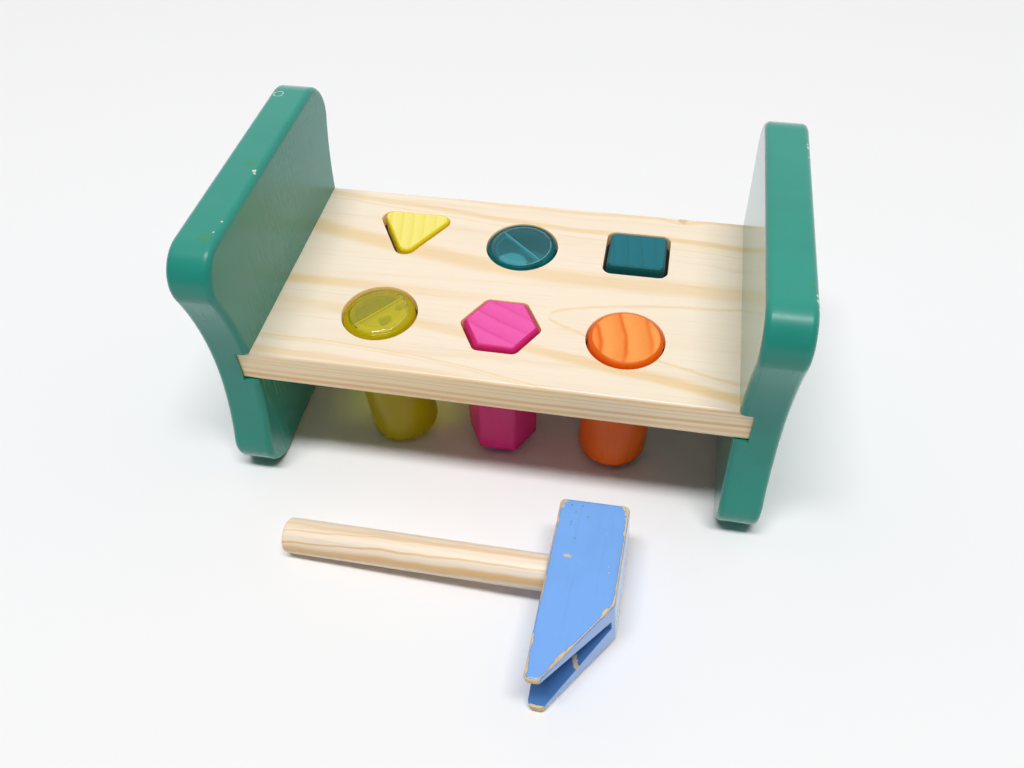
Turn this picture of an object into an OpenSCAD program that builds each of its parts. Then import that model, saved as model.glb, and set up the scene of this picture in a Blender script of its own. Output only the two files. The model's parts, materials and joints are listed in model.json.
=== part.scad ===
// Peg pounding bench: a pine board housed between two shaped end panels, six pegs that are
// pounded through the board, and a wooden hammer lying in front of it.
// The bench works either way up. The origin is on the table, under the middle of the board.
// X runs along the board, Y runs from front to back and Z is up.

/* [Bench] */
// Clear length of the board between the two end panels
board_l = 222; // [200:1:260]
// Thickness of the board
board_t = 18; // [15:0.5:22]
// Rounding of the board's long edges
board_edge_r = 2; // [0.5:0.5:4]
// Thickness of an end panel
panel_t = 20; // [18:1:26]
// Height of an end panel
panel_h = 141; // [120:1:170]
// Greatest depth of an end panel, front to back
panel_d = 150; // [140:1:180]
// How far a panel's front and back edges draw in at the waist
waist_in = 9.3; // [5:0.1:13]
// Radius of a panel's four corners
corner_r = 17; // [14:1:24]
// Rounding along a panel's edges
panel_edge_r = 3; // [1:0.5:5]
// How far the board's long edges sit behind the panels' waist
board_set_in = 1.2; // [0.5:0.1:3]
// Depth of the groove in each panel that takes the board's end
dado_d = 6.5; // [4:0.5:9]

/* [Board joints] */
// Diameter of the dowels that pin the board to the panels
dowel_d = 8; // [6:1:10]
// Length of such a dowel
dowel_l = 24; // [18:1:28]
// How far a dowel reaches into the panel past the groove
dowel_in_panel = 9; // [6:0.5:10]
// Distance between the two dowels of one joint
dowel_pitch = 76; // [50:1:90]

/* [Peg places] */
// Distance between the peg columns, along the board
column_pitch = 58.4; // [52:0.1:66]
// How far the pattern of holes lies to the right of the board's middle
pattern_shift = 0.5; // [0:0.1:2]
// Distance between the front and the back row of pegs
row_pitch = 58; // [50:1:66]
// How far the triangle's middle lies behind the back row's line
triangle_set_back = 5.7; // [0:0.1:8]
// How far the square's middle lies behind the back row's line
square_set_back = 2.6; // [0:0.1:3]
// How far the triangle's hole lies to the left of its column
triangle_hole_left = 1; // [0:0.1:2]
// How far the lime peg's hole lies to the left of its column
lime_hole_left = 0.6; // [0:0.1:2]
// How far the triangle peg sits to the right of its hole's middle
triangle_off_middle = 0.9; // [0:0.1:0.9]

/* [Pegs] */
// Diameter of the round pegs, both the wooden one and the clear ones
round_peg_d = 34.8; // [28:0.1:38]
// Distance across the flats of the hexagon peg
hexagon_flats = 31.6; // [26:0.1:34]
// Width of the square peg
square_w = 28.8; // [24:0.1:33]
// Distance from the middle of the triangle peg to each of its sides
triangle_middle = 11.8; // [9:0.1:12.2]
// Radius of the hexagon peg's upright corners
hexagon_corner_r = 2.6; // [2.3:0.1:4]
// Radius of the square peg's upright corners
square_corner_r = 3; // [2.4:0.1:5]
// Radius of the triangle peg's upright corners
triangle_corner_r = 4.5; // [2.4:0.1:5.5]
// Chamfer round the ends of the wooden pegs
peg_chamfer = 1.5; // [0.5:0.1:1.9]
// Height above the table that a peg keeps when it is pounded flush with the board
peg_foot_gap = 1.5; // [0.5:0.1:3]
// Distance that the triangle peg stands proud of the board
triangle_proud = 2; // [1:0.1:6]
// Distance that the square peg stands proud
square_proud = 1.9; // [1:0.1:6]
// Distance that the clear teal peg stands proud
teal_proud = 0.7; // [0.5:0.1:6]
// Distance that the clear lime peg stands proud
lime_proud = 0.9; // [0.5:0.1:6]
// Distance that the hexagon peg stands proud
hexagon_proud = 2; // [1:0.1:6]
// Distance that the wooden round peg stands proud
orange_proud = 2; // [1:0.1:6]
// Lean of the clear teal peg in its hole, in degrees
teal_lean = -1.8; // [-3:0.1:3]
// Lean of the clear lime peg in its hole, in degrees
lime_lean = -3.2; // [-3.5:0.1:3.5]
// Lean of the hexagon peg in its hole, in degrees
hexagon_lean = 1.3; // [-3:0.1:3]
// Lean of the wooden round peg in its hole, in degrees
orange_lean = 1.8; // [-3:0.1:3]
// Lean of the square peg to the back in its hole, in degrees
square_back_lean = 5; // [-5:0.1:5]

/* [Clear pegs] */
// Wall of a clear peg's cup
cup_wall = 2.4; // [1.6:0.1:4]
// Thickness of the cup's closed end
cup_end_t = 3; // [2:0.1:5]
// Rounding of the cup's closed end
cup_end_r = 3.2; // [1:0.1:5]
// Thickness of the dividing wall across the cup
divider_t = 1; // [0.8:0.1:2.5]
// Thickness of the lid's rim
lid_t = 2.6; // [1.5:0.1:4]
// Rounding of the lid's outer edge
lid_edge_r = 1.3; // [0.4:0.1:1.5]
// Depth of the lid's spigot inside the cup
spigot_h = 3; // [2:0.5:6]
// Wall of the lid's spigot
spigot_wall = 1.6; // [1:0.1:3]
// Direction of the dividing wall in the lime peg, in degrees from the board's length
lime_divider_turn = 49; // [0:1:180]
// Direction of the dividing wall in the teal peg, in degrees from the board's length
teal_divider_turn = 138; // [0:1:180]

/* [Grip rings] */
// Height of the rubber ring that grips a peg
ring_h = 4; // [2:0.5:8]
// Depth of the groove in the hole's wall that holds the ring
groove_d = 2; // [1:0.1:3]

/* [Hammer head] */
// Width of the head, along the handle
head_w = 32; // [28:1:40]
// Length of the head, from its flat end to its wedge tip
head_l = 88; // [80:0.5:110]
// Thickness of the head
head_t = 32; // [24:0.5:36]
// Length of the head's side before the wedge begins
head_side_l = 49.7; // [47:0.1:60]
// Width of the wedge's tip
tip_w = 6.6; // [6.4:0.1:14]
// Radius of the head's upright corners
head_corner_r = 2.6; // [2.2:0.1:3]
// Rounding along the head's edges
head_edge_r = 1.6; // [0.5:0.1:2]
// Height of the slot that splits the wedge, at its tip
slot_h = 24; // [12:0.5:24]
// Height of the slot at its inner end
slot_end_h = 6; // [3:0.5:9]
// Depth of the slot from the tip
slot_d = 36; // [20:1:37]
// Distance of the slot above the head's middle
slot_up = 0.9; // [0:0.1:1]

/* [Hammer handle] */
// Diameter of the handle
handle_d = 17; // [12:0.5:20]
// Free length of the handle
handle_l = 128.5; // [100:0.5:150]
// Depth of the blind socket in the head
socket_d = 22; // [12:1:26]
// Distance from the head's flat end to the handle's axis
handle_place = 31; // [22:1:36]
// Rounding of the handle's end
handle_end_r = 1.8; // [0.5:0.1:3]

/* [Hammer place] */
// Where the handle meets the head, to the right of the bench's middle
hammer_x = 39.3; // [20:0.1:80]
// Where the handle's axis lies, in front of the bench's middle
hammer_y = -118.4; // [-160:0.1:-110]
// Turn of the hammer on the table, in degrees
hammer_turn = -1.8; // [-4:0.1:4]

/* [Fits] */
// Gap round a round peg in its hole
round_gap = 1; // [0.6:0.1:1.5]
// Gap round a triangle or hexagon peg in its hole
shaped_gap = 1.4; // [1.2:0.1:1.8]
// Gap round the square peg in its hole
square_gap = 1.8; // [1.5:0.1:2.2]
// Running clearance between a peg and its rubber ring
ring_slip = 0.05; // [0.02:0.01:0.1]
// Clearance of a rubber ring in its groove
ring_seat = 0.1; // [0.05:0.05:0.3]
// Gap at the board's ends and under them, in the panels' grooves
dado_gap = 0.1; // [0.1:0.1:0.8]
// Clearance of the dowels and of the handle in their bores
glue_gap = 0.05; // [0.02:0.01:0.1]
// Gap past the ends of the dowels and of the handle in their bores
end_gap = 0.4; // [0.1:0.1:0.8]
// Clearance between a clear peg's cup and its lid
lid_gap = 0.1; // [0.05:0.05:0.2]

/* [Hidden] */
$fn = 96;
// Overrun of every cut past the face that it leaves
cut = 1;
// How far a straight side sits inside the rounded corners beside it, so that their faces cross
side_lap = 0.02;

leg_h = (panel_h - board_t) / 2;
board_top = leg_h + board_t;
board_mid = leg_h + board_t / 2;
board_d = panel_d - 2 * waist_in - 2 * board_set_in;
board_end = board_l / 2 + dado_d - dado_gap;
peg_l = board_top - peg_foot_gap;
row_y = row_pitch / 2;
peg_r = round_peg_d / 2;

// Places of the pegs' axes on the board
triangle_at = [pattern_shift - column_pitch - triangle_hole_left, row_y + triangle_set_back];
triangle_peg_at = triangle_at + [triangle_off_middle, 0];
teal_at = [pattern_shift, row_y];
square_at = [pattern_shift + column_pitch, row_y + square_set_back];
lime_at = [pattern_shift - column_pitch - lime_hole_left, -row_y];
hexagon_at = [pattern_shift, -row_y];
orange_at = [pattern_shift + column_pitch, -row_y];

// Corner centre of a panel, and the large arc that draws in its waist
corner_y = panel_d / 2 - corner_r;
corner_z = panel_h / 2 - corner_r;
waist_r = (pow(corner_r - waist_in, 2) + pow(corner_z, 2) - pow(corner_r, 2)) / (2 * waist_in);
waist_y = panel_d / 2 - waist_in + waist_r;
waist_turn = atan(corner_z / (waist_y - corner_y));

// A lying hammer leans down until its handle's end meets the table
hammer_lean = atan((head_t - handle_d) / 2 / (handle_l - handle_end_r));

function unit(v) = v / norm(v);
// Outward normal of the edge that starts at corner i of an outline drawn anticlockwise
function normal(pts, i) =
    let (d = unit(pts[(i + 1) % len(pts)] - pts[i % len(pts)])) [d.y, -d.x];
function before(pts, i) = (i + len(pts) - 1) % len(pts);
// Centre of the arc of radius r that rounds corner i
function centre(pts, i, r) =
    let (a = normal(pts, before(pts, i)), b = normal(pts, i)) pts[i] - r * (a + b) / (1 + a * b);
// Corners of a regular outline with n sides, each at the given distance from its middle
function regular(n, middle, start) =
    [for (i = [0 : n - 1]) middle / cos(180 / n) * [cos(start + 360 * i / n), sin(start + 360 * i / n)]];

// Corners of a rectangle about the origin
function rectangle(w, h) = [[w / 2, -h / 2], [w / 2, h / 2], [-w / 2, h / 2], [-w / 2, -h / 2]];

// Outline with its corners rounded to r and its sides moved in by inset
module outline(pts, r, inset = 0, lap = side_lap) {
    polygon([for (i = [0 : len(pts) - 1]) let (c = centre(pts, i, r)) each [
        c + (r - inset - lap) * normal(pts, before(pts, i)), c + (r - inset - lap) * normal(pts, i)
    ]]);
    for (i = [0 : len(pts) - 1]) translate(centre(pts, i, r)) circle(r - inset);
}

module quarter(r) intersection() {
    circle(r);
    square(r);
}

// Section from a middle line out to r, with its outer corners rounded below and above
module section(r, h, below, above) {
    translate([0, below]) square([r, h - below - above]);
    if (below > 0) {
        square([r - below, below]);
        translate([r - below, below]) mirror([0, 1]) quarter(below);
    }
    if (above > 0) {
        translate([0, h - above]) square([r - above, above]);
        translate([r - above, h - above]) quarter(above);
    }
}

// The same section with its outer corners chamfered
module chamfered(r, h, edge)
    polygon([[0, 0], [r - edge, 0], [r, edge], [r, h - edge], [r - edge, h], [0, h]]);
module eased(r, h, edge, round) {
    if (round) section(r, h, edge, edge);
    else chamfered(r, h, edge);
}

// Slab of height h with upright corners of radius r and both its rims rounded or chamfered.
// A disc stands at every corner, a bar runs along every side and a core fills the middle.
module slab(pts, r, edge, h, round) {
    linear_extrude(h) outline(pts, r, (r + edge) / 2);
    for (i = [0 : len(pts) - 1]) {
        from = centre(pts, i, r);
        to = centre(pts, (i + 1) % len(pts), r);
        out = normal(pts, i);
        translate(from) rotate(atan2(out.y, out.x)) {
            rotate(180) rotate_extrude() eased(r, h, edge, round);
            rotate([90, 0, 0]) mirror([0, 0, 1]) linear_extrude(norm(to - from))
                eased(r - side_lap, h, edge, round);
        }
    }
}

// The frame of a peg: its axis passes through the middle of the board's thickness and leans to
// the right and to the back
module in_hole(at, lean, back = 0) translate([at.x, at.y, board_mid])
    rotate([-back, lean, 0]) children();

// The same frame, moved down to the foot of a peg that stands the given distance proud
module at_foot(at, lean, proud, back = 0) in_hole(at, lean, back)
    translate([0, 0, board_t / 2 + proud - peg_l]) children();

// Outlines of the four kinds of peg, grown by a gap
module triangle_outline(gap) outline(regular(3, triangle_middle + gap, -90), triangle_corner_r + gap);
module square_outline(gap) outline(regular(4, square_w / 2 + gap, 45), square_corner_r + gap);
module hexagon_outline(gap) outline(regular(6, hexagon_flats / 2 + gap, 0), hexagon_corner_r + gap);
module round_outline(gap) circle(peg_r + gap);

// A hole through the board with a groove for its ring half way down
module hole(at) translate([at.x, at.y, leg_h - cut]) linear_extrude(board_t + 2 * cut) children();
module groove(at) translate([at.x, at.y, board_mid - ring_h / 2 - ring_seat])
    linear_extrude(ring_h + 2 * ring_seat) children();

// A ring fills its groove and is bored to the peg, which may lean or sit off the hole's middle
module grip_ring(at, peg_at, lean, back = 0) color("#26282a") difference() {
    translate([at.x, at.y, board_mid - ring_h / 2]) linear_extrude(ring_h) children(0);
    in_hole(peg_at, lean, back) translate([0, 0, -board_t / 2]) linear_extrude(board_t) children(1);
}

module play_board() color("#f0dcb4") difference() {
    translate([-board_end, 0, board_mid]) rotate([90, 0, 90]) linear_extrude(2 * board_end)
        outline(rectangle(board_d, board_t), board_edge_r, lap = 0);
    hole(triangle_at) triangle_outline(shaped_gap);
    hole(teal_at) round_outline(round_gap);
    hole(square_at) square_outline(square_gap);
    hole(lime_at) round_outline(round_gap);
    hole(hexagon_at) hexagon_outline(shaped_gap);
    hole(orange_at) round_outline(round_gap);
    groove(triangle_at) triangle_outline(shaped_gap + groove_d);
    groove(teal_at) round_outline(round_gap + groove_d);
    groove(square_at) square_outline(square_gap + groove_d);
    groove(lime_at) round_outline(round_gap + groove_d);
    groove(hexagon_at) hexagon_outline(shaped_gap + groove_d);
    groove(orange_at) round_outline(round_gap + groove_d);
    dowel_bores();
}

// A dowel lies level, in the middle of the board's thickness, at one end of the board
module dowel(side, y, r, extra)
    translate([side * (board_l / 2 + dado_d + dowel_in_panel + extra), y, board_mid])
        rotate([0, -side * 90, 0]) cylinder(r = r, h = dowel_l + 2 * extra);
module dowel_bores() for (side = [-1, 1], y = [-dowel_pitch / 2, dowel_pitch / 2])
    dowel(side, y, dowel_d / 2 + glue_gap, end_gap);
module dowel_left_front() color("#e2c796") dowel(-1, -dowel_pitch / 2, dowel_d / 2, 0);
module dowel_left_back() color("#e2c796") dowel(-1, dowel_pitch / 2, dowel_d / 2, 0);
module dowel_right_front() color("#e2c796") dowel(1, -dowel_pitch / 2, dowel_d / 2, 0);
module dowel_right_back() color("#e2c796") dowel(1, dowel_pitch / 2, dowel_d / 2, 0);

// Disc that cuts one side of a panel to its waist and leaves the rims there rounded
waist_cut_r = waist_r + side_lap;
module waist_cutter() rotate_extrude() difference() {
    translate([0, -cut]) square([waist_cut_r + panel_edge_r, panel_t + 2 * cut]);
    translate([waist_cut_r, panel_edge_r]) square([panel_edge_r + cut, panel_t - 2 * panel_edge_r]);
    translate([waist_cut_r + panel_edge_r, panel_edge_r]) circle(panel_edge_r);
    translate([waist_cut_r + panel_edge_r, panel_t - panel_edge_r]) circle(panel_edge_r);
}

// A panel lying flat: a block, a disc at every corner and flanks that are cut to the waist
flank = [
    corner_y + (corner_r + panel_edge_r) * cos(waist_turn),
    corner_z - (corner_r + panel_edge_r) * sin(waist_turn)
];
module flat_panel() difference() {
    union() {
        translate([-corner_y, 0, panel_t / 2]) rotate([90, 0, 90]) linear_extrude(2 * corner_y)
            outline(rectangle(panel_h, panel_t), panel_edge_r, lap = 0);
        for (turn = [0, 180], sz = [-1, 1]) rotate(turn) translate([-corner_y, sz * corner_z])
            rotate_extrude() section(corner_r, panel_t, panel_edge_r, panel_edge_r);
        linear_extrude(panel_t) polygon([
            [corner_y, corner_z], [-corner_y, corner_z], [-flank.x, flank.y], [-flank.x, -flank.y],
            [-corner_y, -corner_z], [corner_y, -corner_z], [flank.x, -flank.y], [flank.x, flank.y]
        ]);
    }
    for (sy = [-1, 1]) translate([sy * waist_y, 0]) waist_cutter();
}

// A panel with its inner face at the board's end, before it is mirrored to its side
module panel() difference() {
    translate([board_l / 2, 0, panel_h / 2]) rotate([90, 0, 90]) flat_panel();
    translate([board_l / 2 - cut, -panel_d / 2, leg_h - dado_gap])
        cube([dado_d + cut, panel_d, board_t + dado_gap]);
    dowel_bores();
}
module right_panel() color("#2f8a76") panel();
module left_panel() color("#2f8a76") mirror([1, 0, 0]) panel();

module wooden_peg(pts, r) slab(pts, r, peg_chamfer, peg_l, false);
module yellow_triangle_peg() color("#f7e34f") at_foot(triangle_peg_at, 0, triangle_proud)
    wooden_peg(regular(3, triangle_middle, -90), triangle_corner_r);
module teal_square_peg() color("#23737c") at_foot(square_at, 0, square_proud, square_back_lean)
    wooden_peg(regular(4, square_w / 2, 45), square_corner_r);
module magenta_hexagon_peg() color("#df3f98") at_foot(hexagon_at, hexagon_lean, hexagon_proud)
    wooden_peg(regular(6, hexagon_flats / 2, 0), hexagon_corner_r);
module orange_round_peg() color("#f5893a") at_foot(orange_at, orange_lean, orange_proud)
    rotate_extrude() chamfered(peg_r, peg_l, peg_chamfer);

// A clear peg is a cup with a dividing wall and a glued lid. It is drawn with its lid at the foot.
cup_bore = peg_r - cup_wall;
cup_l = peg_l - lid_t - lid_gap;
module cup(turn) translate([0, 0, lid_t + lid_gap]) {
    difference() {
        rotate_extrude() section(peg_r, cup_l, 0, cup_end_r);
        translate([0, 0, -cut]) cylinder(r = cup_bore, h = cup_l - cup_end_t + cut);
    }
    intersection() {
        rotate(turn) translate([-peg_r, -divider_t / 2, spigot_h + lid_gap])
            cube([2 * peg_r, divider_t, cup_l - cup_end_t - spigot_h]);
        cylinder(r = cup_bore + cup_wall / 2, h = cup_l - cup_end_t / 2);
    }
}
module lid() difference() {
    union() {
        rotate_extrude() section(peg_r, lid_t, lid_edge_r, 0);
        cylinder(r = cup_bore - lid_gap, h = lid_t + spigot_h);
    }
    translate([0, 0, lid_t]) cylinder(r = cup_bore - lid_gap - spigot_wall, h = spigot_h + cut);
}
// The teal peg stands with its lid up and the lime peg with its lid down
module lid_up() translate([0, 0, peg_l]) mirror([0, 0, 1]) children();
module teal_clear_peg_cup() color("#0f7f86", 0.6) at_foot(teal_at, teal_lean, teal_proud)
    lid_up() cup(teal_divider_turn);
module teal_clear_peg_lid() color("#0f7f86", 0.6) at_foot(teal_at, teal_lean, teal_proud) lid_up() lid();
module lime_clear_peg_cup() color("#b6b80f", 0.6) at_foot(lime_at, lime_lean, lime_proud)
    cup(lime_divider_turn);
module lime_clear_peg_lid() color("#b6b80f", 0.6) at_foot(lime_at, lime_lean, lime_proud) lid();

round_ring = round_gap + groove_d - ring_seat;
shaped_ring = shaped_gap + groove_d - ring_seat;
square_ring = square_gap + groove_d - ring_seat;
module grip_ring_triangle() grip_ring(triangle_at, triangle_peg_at, 0) {
    triangle_outline(shaped_ring);
    triangle_outline(ring_slip);
}
module grip_ring_teal() grip_ring(teal_at, teal_at, teal_lean) {
    round_outline(round_ring);
    round_outline(ring_slip);
}
module grip_ring_square() grip_ring(square_at, square_at, 0, square_back_lean) {
    square_outline(square_ring);
    square_outline(ring_slip);
}
module grip_ring_lime() grip_ring(lime_at, lime_at, lime_lean) {
    round_outline(round_ring);
    round_outline(ring_slip);
}
module grip_ring_hexagon() grip_ring(hexagon_at, hexagon_at, hexagon_lean) {
    hexagon_outline(shaped_ring);
    hexagon_outline(ring_slip);
}
module grip_ring_orange() grip_ring(orange_at, orange_at, orange_lean) {
    round_outline(round_ring);
    round_outline(ring_slip);
}

// The hammer's frame: X along the handle into the head, on the head's lower left edge
module in_hammer() translate([hammer_x, hammer_y, 0]) rotate(hammer_turn)
    rotate([0, -hammer_lean, 0]) children();
head_pts = [
    [0, handle_place - head_l], [tip_w, handle_place - head_l],
    [head_w, handle_place - head_side_l], [head_w, handle_place], [0, handle_place]
];
module along_handle(from, r, l) translate([from, 0, head_t / 2]) rotate([0, 90, 0])
    cylinder(r = r, h = l);
// The slot widens evenly from its inner end to the wedge's tip
slot_flare = (slot_h - slot_end_h) / 2 / slot_d;
slot_mouth = slot_h / 2 + cut * slot_flare;
module slot_outline() polygon([
    [-cut, slot_up - slot_mouth], [slot_d, slot_up - slot_end_h / 2],
    [slot_d, slot_up + slot_end_h / 2], [-cut, slot_up + slot_mouth]
]);
module hammer_head() color("#5f9fe6") in_hammer() difference() {
    slab(head_pts, head_corner_r, head_edge_r, head_t, true);
    along_handle(-cut, handle_d / 2 + glue_gap, socket_d + cut);
    translate([-cut, handle_place - head_l, head_t / 2]) rotate([90, 0, 90])
        linear_extrude(head_w + 2 * cut) slot_outline();
}
module hammer_handle() color("#efd9ae") in_hammer() translate([-handle_l, 0, head_t / 2])
    rotate([0, 90, 0]) rotate_extrude()
        section(handle_d / 2, handle_l + socket_d - end_gap, handle_end_r, handle_end_r);

play_board();
left_panel();
right_panel();
dowel_left_front();
dowel_left_back();
dowel_right_front();
dowel_right_back();
yellow_triangle_peg();
teal_clear_peg_cup();
teal_clear_peg_lid();
teal_square_peg();
lime_clear_peg_cup();
lime_clear_peg_lid();
magenta_hexagon_peg();
orange_round_peg();
grip_ring_triangle();
grip_ring_teal();
grip_ring_square();
grip_ring_lime();
grip_ring_hexagon();
grip_ring_orange();
hammer_head();
hammer_handle();
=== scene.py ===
"""Looks of the peg pounding bench: woods, paints, clear plastic, studio floor, light and camera.

Run as a script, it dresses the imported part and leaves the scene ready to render. Its panel in
the 3D view's sidebar lists the same steps one by one. Everything is in metres, in the part's frame.
"""

import json
import math

import bmesh
import bpy
import numpy as np
from bpy.props import FloatProperty, FloatVectorProperty, PointerProperty
from mathutils import Euler, Matrix, Vector


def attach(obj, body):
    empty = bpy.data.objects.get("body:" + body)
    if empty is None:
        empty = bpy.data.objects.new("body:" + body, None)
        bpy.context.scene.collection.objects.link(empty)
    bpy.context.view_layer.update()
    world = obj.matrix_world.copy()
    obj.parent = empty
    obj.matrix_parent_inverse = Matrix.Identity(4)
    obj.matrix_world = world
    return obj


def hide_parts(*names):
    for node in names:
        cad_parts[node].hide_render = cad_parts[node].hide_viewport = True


bl_info = {
    "name": "Pounding Bench Looks",
    "version": (1, 0, 0),
    "blender": (4, 5, 0),
    "location": "3D View > Sidebar > Pounding Bench",
    "description": "Dresses a wooden pounding bench and sets up its studio",
    "category": "Object",
}

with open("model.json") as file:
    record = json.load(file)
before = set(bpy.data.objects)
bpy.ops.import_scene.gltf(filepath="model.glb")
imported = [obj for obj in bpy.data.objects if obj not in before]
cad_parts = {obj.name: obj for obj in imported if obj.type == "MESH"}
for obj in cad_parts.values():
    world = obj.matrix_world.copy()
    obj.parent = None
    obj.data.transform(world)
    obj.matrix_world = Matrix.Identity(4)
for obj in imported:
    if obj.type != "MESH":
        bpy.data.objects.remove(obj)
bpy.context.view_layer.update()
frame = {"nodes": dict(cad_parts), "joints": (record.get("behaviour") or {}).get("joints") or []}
NODES = frame["nodes"]
MM = 0.001

# Bands of late wood: places at the start, in the middle and at the end, half width, then strengths.
# Places are millimetres from front to back on the board's faces, millimetres above the table on
# its edges, and degrees round the handle.
BOARD_BANDS = (
    ((60, 48.5, 44, 2.4), (0.55, 0.9)), ((66, 61.5, 62.5, 1.8), (0.3, 0.75)),
    ((56, 43, 37, 0.6), (0.5, 0.35)), ((31, 11.5, 10, 6.5), (0.8, 0.55)),
    ((-11, -12, -16, 4), (0.85, -0.5)), ((22, 30, 27, 1.0), (-0.3, 0.3)),
    ((-25, -39, -57, 3.6), (0.3, 0.95)), ((-50.5, -59.1, -89.9, 0.7), (0.6, 0.4)),
    ((-52.2, -60.8, -91.6, 0.6), (0.45, 0.3)), ((-60, -66, -80, 3), (0.6, 0.3)),
    ((-6, 1.5, 8, 1.6), (0.1, 0.25)),
)
EDGE_BANDS = (
    ((78.4, 78.2, 78.6, 0.9), (0.3, 1.0)), ((75.6, 75.2, 76.0, 0.5), (0.3, 0.7)),
    ((73.7, 73.0, 73.6, 0.4), (0.5, 0.5)), ((69.5, 69.0, 70.5, 1.2), (0.5, 1.0)),
    ((65.8, 65.2, 66.4, 1.5), (1.0, 0.6)), ((63.2, 62.8, 63.2, 0.5), (0.3, 0.5)),
)
HANDLE_BANDS = (
    ((-10, -13, -17, 9), (0.35, 0.6)), ((19, -6, -15, 4), (0.65, 0.3)),
    # The broad band 64 to 84 degrees round, half width 20, lies on the handle's front side: part late wood,
    # part painted warm shade.
    ((57, 33, 24, 4), (0.9, 0.6)), ((84, 72, 64, 20), (0.9, 1.0)),
    ((125, 112, 100, 8), (0.6, 0.6)), ((165, 150, 140, 10), (0.7, 0.6)),
    ((-60, -70, -80, 8), (0.7, 0.7)), ((-110, -120, -130, 9), (0.7, 0.7)),
)
# Marks on the panels' paint: places and radii in millimetres.
LEFT_CHIPS = (
    (-113.9, -9.4, 140.9, 1.0), (-113.2, -11.0, 140.7, 0.7), (-112.9, -19.9, 140.2, 0.35),
    (-113.9, -46.0, 140.8, 0.6), (-114.6, -53.2, 140.9, 0.45),
)
LEFT_SMUDGES = ((-117.9, -4.0, 141, 2.4), (-116.9, -57.2, 141, 3.4))
RIGHT_CHIPS = (
    (129.4, 46.4, 140.4, 0.5), (129.6, 44.0, 140.2, 0.8), (129.8, 41.0, 140.0, 0.4),
    (129.9, 37.0, 139.9, 0.6), (130.3, -49.0, 139.4, 0.6), (129.9, -54.0, 139.9, 0.7),
    (129.9, -57.0, 139.8, 0.9), (130.2, -60.5, 138.9, 0.8), (129.6, -65.2, 116.0, 0.6),
    (111.0, -11.0, 80.0, 0.7), (111.0, -14.0, 80.0, 0.9), (111.0, -17.5, 80.0, 0.8),
    (111.0, -20.5, 80.0, 0.9), (111.0, -26.0, 79.8, 0.4), (111.0, -29.0, 79.8, 0.4),
)
RIGHT_SMUDGES = ((128.6, 47.0, 140.8, 0.9), (128.4, -46.5, 140.8, 0.8), (128.2, -50.0, 140.8, 0.9))
# Marks on the head's upper face, in the hammer's own frame: bare wood, then dents.
HEAD_CHIPS = (
    (7.2, 1.0, 0.8), (8.2, 1.2, 0.9), (9.2, 0.9, 0.8), (1.4, 29.6, 2.1), (1.1, 26.4, 1.5),
    (30.4, 29.6, 1.9), (31.1, 26.6, 1.3), (31.2, 23.8, 0.9), (23.6, 14.7, 0.3), (26.8, -1.6, 0.3),
    (27.2, -4.5, 0.3),
)
HEAD_DENTS = (
    (5.7, 27.4, 0.55), (10.7, 27.6, 0.55), (8.1, 23.9, 0.55), (13.9, 22.1, 0.55),
    (6.9, 18.6, 0.55), (6.9, 17.2, 0.55), (9.9, 10.3, 0.55),
)
# Painted light and shade seen through the clear pegs' discs, in patches: places on the disc and radii in
# millimetres. The lime's patches are painted darker, the teal's lighter.
LIME_LIGHT_PATCHES = (
    (11.3, 5.5, 2.6), (9.4, 3.6, 2.4), (5.9, -4.6, 2.5), (3.6, -6.0, 2.5), (5.0, -7.4, 2.2),
)
TEAL_LIGHT_PATCHES = ((-3.0, -14.0, 8.8), (9.8, -5.5, 1.6))
WOODEN_PEGS = {
    "yellow_triangle_peg": ("triangle_peg", "yellow_stain"),
    "teal_square_peg": ("square_peg", "teal_stain"),
    "magenta_hexagon_peg": ("hexagon_peg", "magenta_stain"),
    "orange_round_peg": ("orange_peg", "orange_stain"),
}


def linear(colour):
    """A colour as it looks on screen, 0 to 1, turned into the light values that shaders use."""
    curve = [c / 12.92 if c <= 0.04045 else ((c + 0.055) / 1.055) ** 2.4 for c in colour]
    return (*curve, 1.0)


def screen(red, green, blue):
    """A screen colour from its 0 to 255 numbers."""
    return (red / 255, green / 255, blue / 255)


def colour_setting(name, description, default):
    return FloatVectorProperty(
        name=name, description=description, default=default, subtype="COLOR_GAMMA", size=3, min=0, max=1
    )


def length_setting(name, description, default):
    return FloatProperty(name=name, description=description, default=default, unit="LENGTH", min=0)


class PineSettings(bpy.types.PropertyGroup):
    """Clear-lacquered pine of the board and of the hammer's handle"""

    light: colour_setting("Light wood", "Wood between the growth rings", screen(253, 235, 212))
    dark: colour_setting("Dark wood", "Late wood of the growth rings", screen(234, 204, 158))
    band: colour_setting("Band", "Broad bands of late wood on the board's faces", screen(243, 209, 156))
    edge: colour_setting("Edge wood", "Wood on the board's edges and in its holes", screen(255, 234, 196))
    # The stripe colour is also the colour of the board's painted glow.
    stripe: colour_setting("Stripe", "Late wood on the handle and the board's edges", screen(236, 192, 134))
    knot: colour_setting("Knot", "Small knot near the board's back edge", screen(214, 160, 112))
    ring_spacing: length_setting("Ring spacing", "Distance between two growth rings", 7.4 * MM)
    pith_depth: length_setting("Pith depth", "How far the tree's middle lies below the board", 95 * MM)
    handle_spacing: length_setting("Handle ring spacing", "Distance between rings in the handle", 3.1 * MM)


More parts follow.
